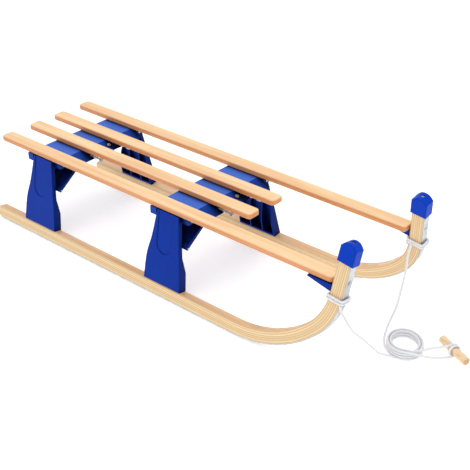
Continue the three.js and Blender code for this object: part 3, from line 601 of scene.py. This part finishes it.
def plastic(name, base, raised, painted_front_shade=0.0, painted_top_highlight=None):
    """Moulded plastic with painted shade in its hollows and, by the share given, on front and rear
    faces.
    """
    shade = Shade(name)
    skin = shade.noise(shade.coords(), 900, detail=2)
    cloud = shade.noise(shade.coords(), 16, detail=3)
    # Painted shade on faces looking forwards and backwards, by the share given
    front = shade.math("MULTIPLY", facing(shade, 0, 0.6, 0.9), painted_front_shade)
    tone = shade.mix(shade.span(cloud, 0.3, 0.7, 0.0, 0.5), base, raised)
    # Painted highlight: flat tops take a lighter blue
    if painted_top_highlight:
        tone = shade.mix(facing(shade, 2, 0.96, 0.995), tone, painted_top_highlight)
    # Painted shade: the plastic turns dark blue where ambient occlusion finds a wall close by
    open_to_light = shade.node("AmbientOcclusion", "AO", values={"Distance": PAINTED_SHADE_REACH},
                               samples=8)
    lit = shade.mix(shade.span(open_to_light, 0.5, 0.95, 0.0, 1.0), PAINTED_HOLLOW_SHADE, tone)
    # Painted shade laid over the front and rear faces
    colour = shade.mix(front, lit, PAINTED_SHADE_BLUE)
    shade.set(Base_Color=colour, Roughness=shade.span(cloud, 0.3, 0.7, 0.32, 0.44), IOR=1.45)
    shade.set(Specular_IOR_Level=0.12, Specular_Tint=(0.3, 0.5, 1.0, 1))
    shade.bump(skin, 0.06, 0.0003, edge=PLASTIC_EDGE)
    return shade.material


def steel(name, base):
    shade = Shade(name)
    patches = shade.noise(shade.coords(), 60, detail=5)
    drawn = shade.noise(shade.coords(scale=(3, 300, 300)), 1.0, detail=3)
    shade.set(Base_Color=shade.mix(shade.span(patches, 0.3, 0.7, 0.0, 0.6), base, rgb(150, 156, 160)),
              Metallic=1.0, Roughness=shade.span(patches, 0.3, 0.7, 0.24, 0.42))
    shade.bump(drawn, 0.06, 0.0002, edge=STEEL_EDGE)
    return shade.material


def rope_fibre():
    shade = Shade("braided_rope")
    axes = shade.node("SeparateXYZ", values={"Vector": shade.node("UVMap", 0, uv_map="rope_uv")})
    along, around = axes.node.outputs[0], axes.node.outputs[1]
    phase = shade.math("MULTIPLY", along, 2 * math.pi * STRAND_PITCH)
    turn = shade.math("MULTIPLY", around, 2 * math.pi * STRANDS_AROUND)
    left = shade.math("SINE", shade.math("ADD", phase, turn))
    right = shade.math("SINE", shade.math("SUBTRACT", phase, turn))
    strands = shade.math("MAXIMUM", left, right)
    fuzz = shade.noise(shade.coords(), 1500, detail=2)
    height = shade.span(strands, -0.6, 0.9, 0.0, 1.0)
    # Painted shade: grooves between the strands are greyer than their crowns
    colour = shade.tones(height, (0.0, 0.5, 1.0), (206, 207, 212), (240, 240, 243), (248, 248, 249))
    shade.set(Base_Color=shade.mix(shade.math("MULTIPLY", fuzz, 0.12), colour, rgb(214, 215, 220)),
              Roughness=0.85)
    shade.set(Sheen_Weight=0.25, Sheen_Roughness=0.5)
    shade.bump(strands, 0.5, 0.0006)
    return shade.material


def handle_wood():
    shade = Shade("handle_wood")
    turned = (0, 0, -HANDLE_ANGLE)
    stretched = shade.coords(scale=(12, 140, 140), rotation=turned)
    grain = shade.noise(stretched, 1.0, detail=5, distortion=0.5)
    colour = shade.tones(grain, (0.3, 0.55, 0.8), (222, 182, 136), (240, 210, 168), (247, 222, 186))
    along = (math.cos(HANDLE_ANGLE), math.sin(HANDLE_ANGLE), 0)
    end_on = shade.node("VectorMath", "Value", operation="DOT_PRODUCT", values={
        0: shade.node("TexCoord", "Normal"), 1: along})
    end_grain = shade.span(shade.math("ABSOLUTE", end_on), 0.85, 0.95, 0.0, 0.8)
    shade.set(Base_Color=shade.mix(end_grain, colour, rgb(198, 152, 106)),
              Roughness=shade.span(grain, 0.3, 0.7, 0.4, 0.55))
    shade.set(Coat_Weight=0.2, Coat_Roughness=0.3)
    shade.bump(grain, 0.12, 0.0003, edge=HANDLE_EDGE)
    return shade.material


def finish_node(name, material):
    node = nodes[name]
    node.data.materials.clear()
    node.data.materials.append(material)


def finish_nodes():
    blue = plastic("blue_plastic", rgb(4, 46, 148), rgb(8, 56, 162), painted_front_shade=0.6)
    cap_blue = plastic("cap_plastic", rgb(6, 56, 178), rgb(16, 68, 196))
    # Beams: a lighter copy of the blue plastic as painted sheen, with a painted highlight on their flat
    # tops
    beam_blue_painted_sheen = plastic("beam_plastic_painted_sheen", rgb(16, 62, 160), rgb(26, 74, 176), painted_top_highlight=rgb(70, 114, 214))
    # A darker copy of the zinc steel for the cap screws: painted shade of the recess they sit in
    recess_shaded_steel = steel("cap_screw_steel_painted_shade", rgb(96, 104, 122))
    made = {
        "slat_wood": slat_wood(),
        "runner_wood": runner_wood(),
        "blue_plastic": blue,
        "steel": steel("zinc_plated", rgb(206, 210, 212)),
        "rope": rope_fibre(),
        "handle_wood": handle_wood(),
    }
    for row in frame["record"]["subparts"]:
        finish_node(row["node"], made[row["material_slot"]])
    for station in ("rear", "front"):
        finish_node(f"{station}_beam", beam_blue_painted_sheen)
    for side in ("right", "left"):
        finish_node(f"{side}_horn_cap", cap_blue)
        finish_node(f"{side}_cap_screw", recess_shaded_steel)
    return made


# Floor and light


def add_floor():
    mesh = bpy.data.meshes.new("floor")
    r = FLOOR_REACH
    mesh.from_pydata([(-r, -r, 0), (r, -r, 0), (r, r, 0), (-r, r, 0)], [], [(0, 1, 2, 3)])
    floor = bpy.data.objects.new("floor", mesh)
    floor.location.z = -FLOOR_DROP
    bpy.context.scene.collection.objects.link(floor)
    shade = Shade("floor_paint")
    shade.set(Base_Color=(FLOOR_TONE, FLOOR_TONE, FLOOR_TONE, 1), Roughness=0.9)
    shade.set(Emission_Color=WHITE, Emission_Strength=FLOOR_GLOW)
    mesh.materials.append(shade.material)


def add_light(name, place_at, size, power):
    data = bpy.data.lights.new(name, "AREA")
    data.shape = "DISK"
    data.size = size
    data.energy = power
    light = bpy.data.objects.new(name, data)
    light.location = place_at
    aim = Vector(LAMP_TARGET) - Vector(place_at)
    light.rotation_euler = aim.to_track_quat("-Z", "Y").to_euler()
    bpy.context.scene.collection.objects.link(light)


def add_world():
    """A soft world light that camera, glossy and transmission rays see as plain white."""
    world = bpy.data.worlds.new("studio")
    bpy.context.scene.world = world
    world.use_nodes = True
    tree = world.node_tree
    tree.nodes.clear()
    output = tree.nodes.new("ShaderNodeOutputWorld")
    seen = tree.nodes.new("ShaderNodeBackground")
    seen.inputs["Color"].default_value = WHITE
    soft = tree.nodes.new("ShaderNodeBackground")
    soft.inputs["Color"].default_value = WORLD_TINT
    soft.inputs["Strength"].default_value = WORLD_STRENGTH
    rays = tree.nodes.new("ShaderNodeLightPath")
    shows_white = rays.outputs["Is Camera Ray"]
    for kind in ("Is Glossy Ray", "Is Transmission Ray"):
        either = tree.nodes.new("ShaderNodeMath")
        either.operation = "MAXIMUM"
        tree.links.new(shows_white, either.inputs[0])
        tree.links.new(rays.outputs[kind], either.inputs[1])
        shows_white = either.outputs[0]
    mix = tree.nodes.new("ShaderNodeMixShader")
    tree.links.new(shows_white, mix.inputs["Fac"])
    tree.links.new(soft.outputs[0], mix.inputs[1])
    tree.links.new(seen.outputs[0], mix.inputs[2])
    tree.links.new(mix.outputs[0], output.inputs["Surface"])


def add_studio():
    add_floor()
    add_world()
    for name, (place_at, size, power) in LAMPS.items():
        add_light(name, place_at, size, power)
    bpy.context.scene.view_settings.view_transform = "Standard"


add_camera()
ropes = add_rope()
finishes = finish_nodes()
for piece in ropes:
    piece.data.materials.append(finishes["rope"])
add_studio()
